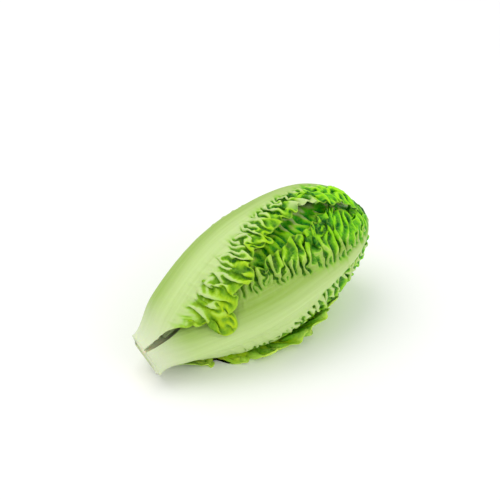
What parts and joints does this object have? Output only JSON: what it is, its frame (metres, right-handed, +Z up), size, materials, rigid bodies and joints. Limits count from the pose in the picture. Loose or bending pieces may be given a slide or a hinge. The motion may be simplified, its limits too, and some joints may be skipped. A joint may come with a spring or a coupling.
{
  "type": "little gem lettuce",
  "caption": "Small upright cos-type lettuce head lying on its side, with crinkled wrapper leaves, broad pale ribs and a cut stem end.",
  "frame": {"origin": "centre of the bounding box at its lowest face, on the surface that the head lies on", "axes": "+X runs along the head from the cut stem end to the leaf tips, +Z is up, and the front leaf with the broad rib faces -Y"},
  "size_m": [0.1504, 0.0788, 0.0758],
  "materials": {
    "outer_leaf": "waxy leaf, bright green blade round a pale rib",
    "inner_leaf": "waxy leaf, yellow-green blade",
    "heart_leaf": "tender leaf, pale yellow-green",
    "stem": "cut stem, moist and creamy white"
  },
  "bodies": {
    "root": {"stem": "stem", "leaf_1_top": "outer_leaf", "leaf_2_front": "outer_leaf", "leaf_3_under": "outer_leaf", "leaf_4_over": "inner_leaf", "leaf_5_side": "inner_leaf", "leaf_6_back": "inner_leaf", "leaf_7_inner": "inner_leaf", "leaf_8_inner": "inner_leaf", "leaf_9_inner": "inner_leaf", "heart": "heart_leaf"}
  },
  "joints": []
}
